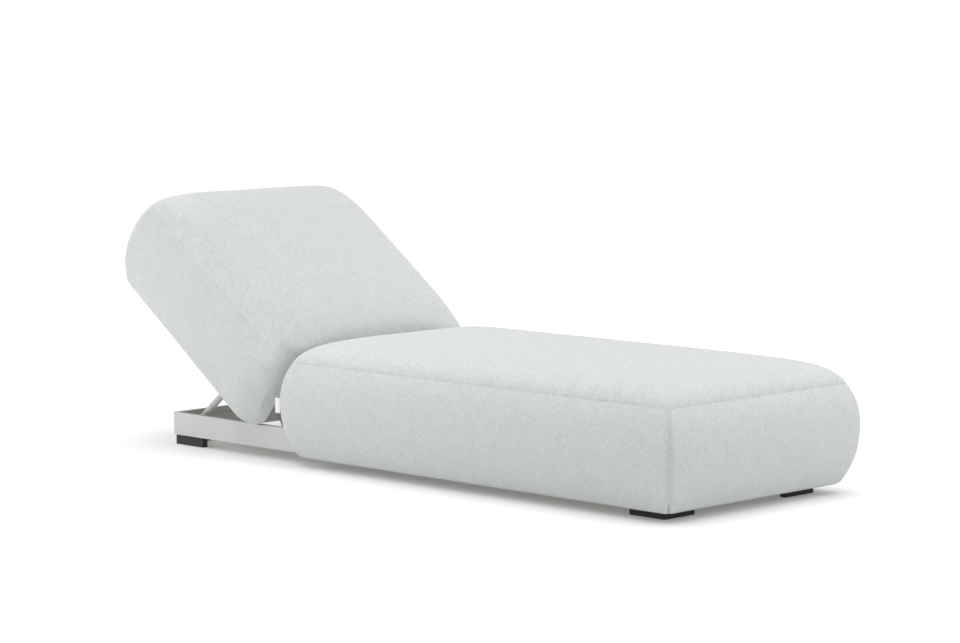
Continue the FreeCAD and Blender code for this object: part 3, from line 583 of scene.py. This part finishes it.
def cushion_shell(sewing, panel, low_ends):
    """Boxed shell from a grid for the top panel, drawn down along its edge ring by ring.

    low_ends gives both ends of the block at a rise over the hem. The vertex values from_seam and
    from_corner keep how far a point lies from the top seam and from the nearest corner seam.
    """
    lines_x = mesh_lines(sewing, panel.x_to - panel.x_from)
    lines_y = mesh_lines(sewing, 2 * panel.half)
    bm = bmesh.new()
    from_seam = bm.verts.layers.float.new("from_seam")
    from_corner = bm.verts.layers.float.new("from_corner")
    uv = bm.loops.layers.uv.new("panels")
    bmesh.ops.create_grid(bm, x_segments=len(lines_x) - 1, y_segments=len(lines_y) - 1, size=1.0)
    points = panel.points(lines_x, lines_y)
    for vert in bm.verts:
        i = round((vert.co.x + 1) / 2 * (len(lines_x) - 1))
        j = round((vert.co.y + 1) / 2 * (len(lines_y) - 1))
        vert.co, vert[from_seam], vert[from_corner] = points[i, j]
    for face in bm.faces:
        for loop in face.loops:
            loop[uv].uv = loop.vert.co.xy
    ring = [edge for edge in bm.edges if edge.is_boundary]
    extents = panel.x_from, panel.x_to, panel.half
    levels = [(rise, 0.0) for rise in side_levels(sewing)] + hem_rings(sewing)
    for rise, inward in levels:
        verts, faces, ring = drawn_ring(bm, ring)
        x_low, x_high = low_ends(rise)
        half = base_half + side_bulge(sewing, rise) - inward
        new_extents = x_low + inward, x_high - inward, half
        for vert in verts:
            share = (vert.co.x - extents[0]) / (extents[1] - extents[0])
            vert.co.x = new_extents[0] + share * (new_extents[1] - new_extents[0])
            vert.co.y *= new_extents[2] / extents[2]
            vert.co.z = sewing.hem_height + rise
            vert[from_seam] = rise - sewing.seam_rise - inward
        for face in faces:
            middle = face.calc_center_median()
            on_end = min(middle.x - x_low, x_high - middle.x) < half - abs(middle.y)
            for loop in face.loops:
                across = loop.vert.co.y if on_end else loop.vert.co.x
                loop[uv].uv = (across, loop.vert[from_seam])
        extents = new_extents
    plump_sides(bm, sewing, panel.sizes.plump, low_ends)
    bmesh.ops.recalc_face_normals(bm, faces=bm.faces)
    return bm


def plump_sides(bm, sewing, plump, low_ends):
    """Lets the sides stand out further between the corner seams than at them."""
    from_seam = bm.verts.layers.float["from_seam"]
    for vert in bm.verts:
        rise = sewing.seam_rise + vert[from_seam]
        if 0 < rise < sewing.seam_rise:
            most = 4 * plump * rise * (sewing.seam_rise - rise) / sewing.seam_rise ** 2
            x_low, x_high = low_ends(rise)
            to_end = min(vert.co.x - x_low, x_high - vert.co.x)
            to_side = base_half + side_bulge(sewing, rise) - abs(vert.co.y)
            out = most * (1 - math.exp(-max(0.0, to_end, to_side) / sewing.plump_reach))
            if to_end > to_side:
                vert.co.y += math.copysign(out, vert.co.y)
            else:
                vert.co.x += math.copysign(out, vert.co.x - (x_low + x_high) / 2)


def linked(name, data):
    """New object in the scene."""
    made = bpy.data.objects.new(name, data)
    bpy.context.scene.collection.objects.link(made)
    return made


def new_object(name, bm, *finishes):
    """Object from a bmesh, with its finishes."""
    mesh = bpy.data.meshes.new(name)
    bm.to_mesh(mesh)
    bm.free()
    for finish_name in finishes:
        mesh.materials.append(finish(finish_name))
    return linked(name, mesh)


def applied(piece):
    """Bakes a piece's modifiers into its mesh."""
    view = bpy.context.evaluated_depsgraph_get()
    mesh = bpy.data.meshes.new_from_object(piece.evaluated_get(view), preserve_all_data_layers=True,
                                           depsgraph=view)
    piece.modifiers.clear()
    old = piece.data
    piece.data = mesh
    bpy.data.meshes.remove(old)
    mesh.name = piece.name


def seam_distances(mesh):
    """Distances of the vertices from the top seam, below 0 on the sides, and from a corner seam."""
    return [[item.value for item in mesh.attributes[name].data] for name in ("from_seam", "from_corner")]


# Pressure run of the covers: its frames, and how free a point is that still counts as sewn
COVER_FRAMES = 20
SEWN_FREEDOM = 0.001


def settle_cover(piece, sewing, crown_rise):
    """Swells the panels between their seams and firm shoulders: a pressure run of the cover as cloth."""
    mesh = piece.data
    shoulder = sewing.shoulder_share * crown_rise
    normals = [v.normal.copy() for v in mesh.vertices]
    start, sewn = [], []
    for vert, normal, seam, corner in zip(mesh.vertices, normals, *seam_distances(mesh)):
        from_hem = max(0.0, seam + sewing.seam_rise)
        if seam < 0:
            free = smooth_step(min(-seam, corner, from_hem) / sewing.edge_zone)
        else:
            free = smooth_step((seam - shoulder) / (crown_rise - shoulder))
        start.append(vert.co - normal * sewing.swell * free)
        if free < SEWN_FREEDOM or from_hem <= sewing.hem_radius:
            sewn.append(vert.index)
    for vert, place in zip(mesh.vertices, start):
        vert.co = place
    mesh.update()
    piece.vertex_groups.new(name="sewn").add(sewn, 1.0, "REPLACE")
    cloth = piece.modifiers.new("cover", "CLOTH")
    settings = cloth.settings
    settings.vertex_group_mass = "sewn"
    settings.pin_stiffness = 1.0
    settings.quality = 4
    settings.mass = 0.35
    settings.tension_stiffness = 25.0
    settings.compression_stiffness = 25.0
    settings.shear_stiffness = 10.0
    settings.bending_stiffness = 2.0
    settings.use_pressure = True
    settings.uniform_pressure_force = 0.6
    settings.effector_weights.gravity = 0.0
    cloth.point_cache.frame_start = 1
    cloth.point_cache.frame_end = COVER_FRAMES
    scene = bpy.context.scene
    for step in range(1, COVER_FRAMES + 1):
        scene.frame_set(step)
    view = bpy.context.evaluated_depsgraph_get()
    swollen = [v.co.copy() for v in piece.evaluated_get(view).data.vertices]
    piece.modifiers.clear()
    most = 2 * sewing.swell
    for vert, before, after in zip(mesh.vertices, start, swollen):
        move = after - before
        vert.co = before + (move * (most / move.length) if move.length > most else move)
    piece.vertex_groups.clear()
    scene.frame_set(1)


def hollow(distance, width):
    """Rounded hollow of a half width round a line: 1 on the line, 0 away from it."""
    return math.exp(-(distance / width) ** 2)


def sewn_details(piece, sewing, seed, vented):
    """Creases along the seams, small gathers beside them and the slow unevenness of the padding."""
    mesh = piece.data
    shift = Vector((seed, 0.0, 0.0))
    places = []
    for vert, seam, corner in zip(mesh.vertices, *seam_distances(mesh)):
        crease = hollow(seam, sewing.groove_width)
        beside = math.exp(-abs(seam) / sewing.pucker_reach)
        sink = crease * sewing.groove_depth
        if seam < 0:
            corner_crease = hollow(corner, sewing.groove_width)
            crease = max(crease, corner_crease)
            beside = max(beside, math.exp(-corner / sewing.pucker_reach))
            sink = max(sink, corner_crease * sewing.corner_groove)
            sink += sewing.stitch_sink * hollow(corner - sewing.stitch_setback, sewing.groove_width)
            above_hem = seam + sewing.seam_rise
            if vented and 0 <= above_hem < sewing.vent_height:
                open_share = smooth_step(2 * (1 - above_hem / sewing.vent_height))
                sink += sewing.vent_depth * open_share * hollow(corner, sewing.groove_width)
        place = vert.co + shift
        gather = noise.noise(place / sewing.pucker_length) * sewing.pucker_depth * beside * (1 - crease)
        drape = noise.noise(place / sewing.drape_length) * sewing.drape_depth
        places.append(vert.co + vert.normal * (gather + drape - sink))
    for vert, place in zip(mesh.vertices, places):
        vert.co = place


def close_underside(piece):
    """Draws the turned-under hem up a little and closes it, out of sight in the recess."""
    bm = bmesh.new()
    bm.from_mesh(piece.data)
    draw_up = 0.01
    verts, _, rim = drawn_ring(bm, [edge for edge in bm.edges if edge.is_boundary])
    top = max(v.co.z for v in verts) + draw_up
    for vert in verts:
        vert.co.z = top
    bmesh.ops.contextual_create(bm, geom=rim)
    bmesh.ops.recalc_face_normals(bm, faces=bm.faces)
    bm.to_mesh(piece.data)
    bm.free()


def cut_recess(piece, low, high):
    """Cuts the recess for the frame out of the underside, and lines it."""
    bm = bmesh.new()
    size = high - low
    bmesh.ops.create_cube(bm, size=1.0, matrix=Matrix.Translation((low + high) / 2)
                          @ Matrix.Diagonal((*size, 1.0)))
    cutter = new_object("recess_cutter", bm)
    cut = piece.modifiers.new("recess", "BOOLEAN")
    cut.operation = "DIFFERENCE"
    cut.solver = "EXACT"
    cut.object = cutter
    applied(piece)
    bpy.data.objects.remove(cutter)
    slack = 1e-4
    for face in piece.data.polygons:
        middle = face.center
        inside = all(low[k] - slack < middle[k] < high[k] + slack for k in range(3))
        if inside:
            face.material_index = 1


def finish_mesh(piece):
    """Smooth shading, with the edges of the recess kept sharp."""
    sharpest_fold = math.radians(52)
    for face in piece.data.polygons:
        face.use_smooth = True
    piece.data.set_sharp_from_angle(angle=sharpest_fold)


def into_oval(x, y, half_x, half_y):
    """Draws a point in the first quadrant in to an oval round the origin, if it lies outside it."""
    far = math.hypot(x / half_x, y / half_y)
    return (x / far, y / far) if x > 0 and y > 0 and far > 1 else (x, y)


def corner_stitches(name, cushion, sewing, low_ends, ends, from_rise):
    """Two rows of stitches beside the corner seams at the given ends of a cushion, 0 head and 1 foot."""
    bm = bmesh.new()
    radius = sewing.corner_radius
    turn = math.pi / 4 * (1 - sewing.stitch_setback / radius)
    near, far = radius * (1 - math.cos(turn)), radius * (1 - math.sin(turn))
    count = int((sewing.seam_rise - from_rise) / sewing.stitch_pitch)
    size = Matrix.Diagonal((sewing.stitch_radius, sewing.stitch_radius, sewing.stitch_length / 2, 1.0))
    for end in ends:
        for side in (-1, 1):
            for in_x, in_y in ((near, far), (far, near)):
                line = []
                for k in range(count + 1):
                    rise = from_rise + sewing.stitch_pitch * k
                    x = low_ends(rise)[end] + (in_x if end == 0 else -in_x)
                    y = side * (base_half + side_bulge(sewing, rise) - in_y)
                    line.append(cushion.closest_point_on_mesh(Vector((x, y, sewing.hem_height + rise)))[1])
                for low, high in zip(line, line[1:]):
                    turned = (high - low).to_track_quat("Z", "Y").to_matrix().to_4x4()
                    bmesh.ops.create_uvsphere(bm, u_segments=6, v_segments=4, radius=1.0,
                                              matrix=Matrix.Translation((low + high) / 2) @ turned @ size)
    return new_object(name, bm, "seam_thread")


def padded_cushion(name, sewing, panel, low_ends, recess, seed, shape=None):
    """Sewn cushion with its recess. One without a shape of its own has slits under its corner seams."""
    bm = cushion_shell(sewing, panel, low_ends)
    if shape:
        for vert in bm.verts:
            vert.co = shape(vert.co)
        bmesh.ops.recalc_face_normals(bm, faces=bm.faces)
    piece = new_object(name, bm, "melange_fabric", "underside_lining")
    settle_cover(piece, sewing, panel.sizes.crown_rise)
    finer = piece.modifiers.new("finer", "SUBSURF")
    finer.levels = finer.render_levels = 1
    finer.uv_smooth = "NONE"
    applied(piece)
    sewn_details(piece, sewing, seed, shape is None)
    close_underside(piece)
    cut_recess(piece, *recess)
    return piece


class LOUNGER_OT_seat_cushion(bpy.types.Operator):
    """Makes the seat cushion, which drops over the rails"""
    bl_idname = "lounger.seat_cushion"
    bl_label = "Seat Cushion"

    def execute(self, context):
        sewing, sizes = context.scene.lounger_sewing, context.scene.lounger_seat
        head, foot = base_foot - sizes.length, base_foot + sizes.foot_reach
        panel = Panel(sewing, sizes, head - sizes.end_bulge_seam, foot + sizes.end_bulge_seam)

        def low_ends(rise):
            out = side_bulge(sewing, rise, bulge_seam=sizes.end_bulge_seam)
            return head - out, foot + out

        half = rail_outside + FRAME_CLEARANCE
        recess = (Vector((head - 2 * sewing.bulge_widest, -half, -half)),
                  Vector((rail_foot_face + FRAME_CLEARANCE, half, seat_slat_top + SLAT_CLEARANCE)))
        piece = padded_cushion("seat_cushion", sewing, panel, low_ends, recess, seed=3.0)
        finish_mesh(piece)
        stitches = corner_stitches("seat_stitches", piece, sewing, low_ends, ends=(0, 1),
                                   from_rise=sewing.vent_height)
        for made in (piece, stitches):
            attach(made, "base_frame")
        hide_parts("seat_cover", "seat_core")
        return {"FINISHED"}


def backrest_ends(sewing, sizes, seat_length):
    """Tip and foot seam of the flat backrest."""
    tip = base_foot - seat_length - sewing.bulge_widest - sizes.tip_gap
    return tip, tip - sizes.seam_setback


class LOUNGER_OT_backrest_cushion(bpy.types.Operator):
    """Makes the backrest cushion, drawn flat and then raised"""
    bl_idname = "lounger.backrest_cushion"
    bl_label = "Backrest Cushion"

    def execute(self, context):
        sewing, sizes = context.scene.lounger_sewing, context.scene.lounger_backrest
        tip, seam_end = backrest_ends(sewing, sizes, context.scene.lounger_seat.length)
        head = base_head - sizes.head_overhang
        panel = Panel(sewing, sizes, head - sizes.head_bulge_seam, seam_end, sizes.foot_corner)

        def low_ends(rise):
            share = max(0.0, rise - sizes.tip_rise) / (sewing.seam_rise - sizes.tip_rise)
            fullness = 4 * sizes.end_fullness * share * (1 - share)
            out = side_bulge(sewing, rise, sizes.head_widest_rise, sizes.head_bulge_seam)
            return head - out, tip + (seam_end - tip) * share + fullness

        def soft_end(point):
            """Draws the foot end in to its soft corners and to the oval under it."""
            rise = point.z - sewing.hem_height
            if rise < sewing.seam_rise:
                low = smooth_step((sewing.seam_rise - rise) / sizes.foot_corner_drop)
                long = sizes.foot_corner + low * (sizes.foot_corner_length - sizes.foot_corner)
                wide = sizes.foot_corner + low * (sizes.foot_corner_width - sizes.foot_corner)
                centre_x = low_ends(rise)[1] - long
                centre_y = base_half + side_bulge(sewing, rise) - wide
                x, y = into_oval(point.x - centre_x, abs(point.y) - centre_y, long, wide)
                point = Vector((centre_x + x, math.copysign(centre_y + y, point.y), point.z))
            centre_x, centre_z = tip - sizes.tip_length, sewing.hem_height + sizes.tip_rise
            x, z = into_oval(point.x - centre_x, centre_z - point.z, sizes.tip_length, sizes.tip_rise)
            return Vector((centre_x + x, point.y, centre_z - z))

        half = rail_outside + FRAME_CLEARANCE
        slat_top = flat_box("back_slats")[1].z
        recess = (Vector((head + sizes.head_wall, -half, -half)),
                  Vector((tip + 2 * sewing.bulge_widest, half, slat_top + SLAT_CLEARANCE)))
        piece = padded_cushion("backrest_cushion", sewing, panel, low_ends, recess, seed=7.0,
                               shape=soft_end)
        stitches = corner_stitches("backrest_stitches", piece, sewing, low_ends, ends=(0,), from_rise=0.0)
        for made in (piece, stitches):
            made.data.transform(flat_to_rest())
            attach(made, "backrest")
        finish_mesh(piece)
        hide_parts("back_cover", "back_core")
        return {"FINISHED"}


# Care label

# Flat width of the label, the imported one's own
LABEL_WIDTH = 0.017


class LOUNGER_OT_care_label(bpy.types.Operator):
    """Makes the small blank label in the seat's head corner seam"""
    bl_idname = "lounger.care_label"
    bl_label = "Care Label"

    def execute(self, context):
        sizes = context.scene.lounger_label
        low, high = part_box("care_tag")
        span, height = LABEL_WIDTH, high.z - low.z
        bm = bmesh.new()
        bmesh.ops.create_grid(bm, x_segments=10, y_segments=20, size=1.0)
        root = Vector((high.x, high.y, (low.z + high.z) / 2))
        ahead = Vector((math.cos(sizes.heading), math.sin(sizes.heading), 0.0))
        aside = Vector((-ahead.y, ahead.x, 0.0))
        bow = 0.9 * math.pi
        for vert in bm.verts:
            out, up = (vert.co.x + 1) / 2, vert.co.y / 2
            curl = sizes.curl * math.sin(bow * out) * (1 + sizes.lean * up)
            vert.co = root + ahead * span * out + aside * curl + Vector((0.0, 0.0, up * height))
        piece = new_object("care_label", bm, "label_satin")
        thick = piece.modifiers.new("cloth", "SOLIDIFY")
        thick.thickness = sizes.thickness
        thick.offset = 0.0
        applied(piece)
        finish_mesh(piece)
        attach(piece, "base_frame")
        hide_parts("care_tag")
        return {"FINISHED"}


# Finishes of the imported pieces

def nodes_named(*starts):
    return sorted(name for name in frame["nodes"] if name.startswith(starts))


class LOUNGER_OT_base_finish(bpy.types.Operator):
    """Paints the rails, cross bars and gussets, and finishes the feet and their screws"""
    bl_idname = "lounger.base_finish"
    bl_label = "Base Finish"

    def execute(self, context):
        paint(nodes_named("side_rail_", "head_rail", "foot_rail", "seat_crossbar_", "foot_gusset_"),
              "rail_powder_coat")
        paint(nodes_named("corner_foot_"), "foot_plastic")
        paint(nodes_named("foot_screws", "seat_slat_screws"), "zinc_plate")
        paint(nodes_named("seat_slats"), "beech_plywood")
        return {"FINISHED"}


class LOUNGER_OT_backrest_finish(bpy.types.Operator):
    """Paints the backrest frame and finishes its slats, screws and end caps"""
    bl_idname = "lounger.backrest_finish"
    bl_label = "Backrest Frame Finish"

    def execute(self, context):
        paint(nodes_named("back_side_tube_", "back_cross_tube_", "hinge_plate_"), "rail_powder_coat")
        paint(nodes_named("back_slats"), "beech_plywood")
        paint(nodes_named("back_slat_screws"), "zinc_plate")
        paint(nodes_named("tube_end_caps"), "foot_plastic")
        return {"FINISHED"}


class LOUNGER_OT_linkage_finish(bpy.types.Operator):
    """Finishes the struts, their pins and bushes, the sliding axle and its guides"""
    bl_idname = "lounger.linkage_finish"
    bl_label = "Linkage Finish"

    def execute(self, context):
        paint(nodes_named("strut_tube_", "strut_cross_tube"), "strut_powder_coat")
        paint(nodes_named("guide_rack_", "guide_keeper_", "strut_foot_stud_", "strut_foot_nuts",
                          "strut_top_", "slide_axle"), "zinc_plate")
        paint(nodes_named("strut_bushes", "axle_sleeve_"), "bearing_nylon")
        return {"FINISHED"}


# Studio

class LOUNGER_OT_studio(bpy.types.Operator):
    """Makes the white floor, the soft light and the camera"""
    bl_idname = "lounger.studio"
    bl_label = "Studio"

    def execute(self, context):
        scene, studio = context.scene, context.scene.lounger_studio
        bm = bmesh.new()
        bmesh.ops.create_grid(bm, x_segments=1, y_segments=1, size=studio.floor_size)
        floor = new_object("studio_floor", bm, "studio_floor")
        world = bpy.data.worlds.new("studio_sky")
        world.use_nodes = True
        sky = world.node_tree.nodes["Background"]
        sky.inputs["Color"].default_value = (1.0, 1.0, 1.0, 1.0)
        sky.inputs["Strength"].default_value = studio.sky
        scene.world = world
        lamp = bpy.data.lights.new("overhead_lamp", "SUN")
        lamp.energy = studio.lamp
        lamp.color = studio.lamp_tint
        lamp.angle = studio.lamp_spread
        linked("overhead_lamp", lamp)
        for name in ("head_softbox", "foot_softbox"):
            box = bpy.data.lights.new(name, "AREA")
            box.shape = "DISK"
            box.size = studio.softbox_size
            box.energy = getattr(studio, name)
            stand = linked(name, box)
            stand.location = getattr(studio, name + "_place")
            from_aim = stand.location - Vector((0.0, 0.0, studio.softbox_aim))
            stand.rotation_euler = from_aim.to_track_quat("Z", "Y").to_euler()
        lens = bpy.data.cameras.new("photo_camera")
        lens.lens = studio.camera_lens
        lens.sensor_width = studio.camera_sensor
        lens.clip_end = 10 * studio.floor_size
        camera = linked("photo_camera", lens)
        heading, dip = studio.camera_heading, studio.camera_dip
        level = math.cos(dip)
        look = Vector((level * math.cos(heading), level * math.sin(heading), -math.sin(dip)))
        camera.location = studio.camera_place
        camera.rotation_euler = look.to_track_quat("-Z", "Y").to_euler()
        scene.camera = camera
        scene.view_settings.view_transform = "Standard"
        return {"FINISHED"}


class LOUNGER_PT_panel(bpy.types.Panel):
    """Lists the lounger's pieces and settings"""
    bl_label = "Relaxation Lounger"
    bl_idname = "LOUNGER_PT_panel"
    bl_space_type = "VIEW_3D"
    bl_region_type = "UI"
    bl_category = "Lounger"

    def draw(self, context):
        for operator in STEPS:
            self.layout.operator(operator.bl_idname)
        for name in SETTINGS:
            group = getattr(context.scene, name)
            box = self.layout.box()
            for key in group.bl_rna.properties.keys():
                if key not in ("name", "rna_type"):
                    box.prop(group, key)


STEPS = (LOUNGER_OT_studio, LOUNGER_OT_seat_cushion, LOUNGER_OT_backrest_cushion, LOUNGER_OT_care_label,
         LOUNGER_OT_base_finish, LOUNGER_OT_backrest_finish, LOUNGER_OT_linkage_finish)
SETTINGS = {"lounger_sewing": SewingSizes, "lounger_seat": SeatSizes, "lounger_backrest": BackrestSizes,
            "lounger_label": LabelSizes, "lounger_colours": FinishColours, "lounger_studio": StudioSizes}


def register():
    for name, group in SETTINGS.items():
        bpy.utils.register_class(group)
        setattr(bpy.types.Scene, name, bpy.props.PointerProperty(type=group))
    for kind in (*STEPS, LOUNGER_PT_panel):
        bpy.utils.register_class(kind)


def unregister():
    for kind in (LOUNGER_PT_panel, *reversed(STEPS)):
        bpy.utils.unregister_class(kind)
    for name, group in SETTINGS.items():
        delattr(bpy.types.Scene, name)
        bpy.utils.unregister_class(group)


def main():
    register()
    bpy.ops.lounger.studio()
    bpy.ops.lounger.seat_cushion()
    bpy.ops.lounger.backrest_cushion()
    bpy.ops.lounger.care_label()
    bpy.ops.lounger.base_finish()
    bpy.ops.lounger.backrest_finish()
    bpy.ops.lounger.linkage_finish()


if __name__ == "__main__":
    main()
